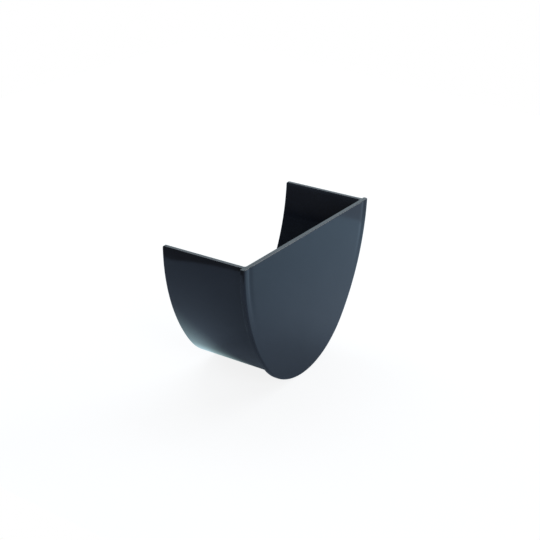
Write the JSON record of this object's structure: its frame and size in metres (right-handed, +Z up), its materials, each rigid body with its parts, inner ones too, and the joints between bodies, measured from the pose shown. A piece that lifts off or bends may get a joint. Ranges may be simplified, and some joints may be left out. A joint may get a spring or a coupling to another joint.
{
  "type": "gutter stop end",
  "caption": "Moulded stop end for a deep gutter: a flat D-shaped end plate with an overhanging rim and an open-topped channel skirt that goes into the fitting.",
  "frame": {"origin": "on the gutter's centre line, at the middle of the part's length, level with the lowest point of the rim", "axes": "+X across the gutter, +Y along it towards the skirt's open end, +Z up through the open top; the plate's outer face looks to -Y"},
  "size_m": [0.116, 0.0474, 0.077],
  "materials": {
    "body": "smooth moulded gloss, dark blue-grey"
  },
  "bodies": {
    "root": {"stop_end": "body"}
  },
  "joints": []
}
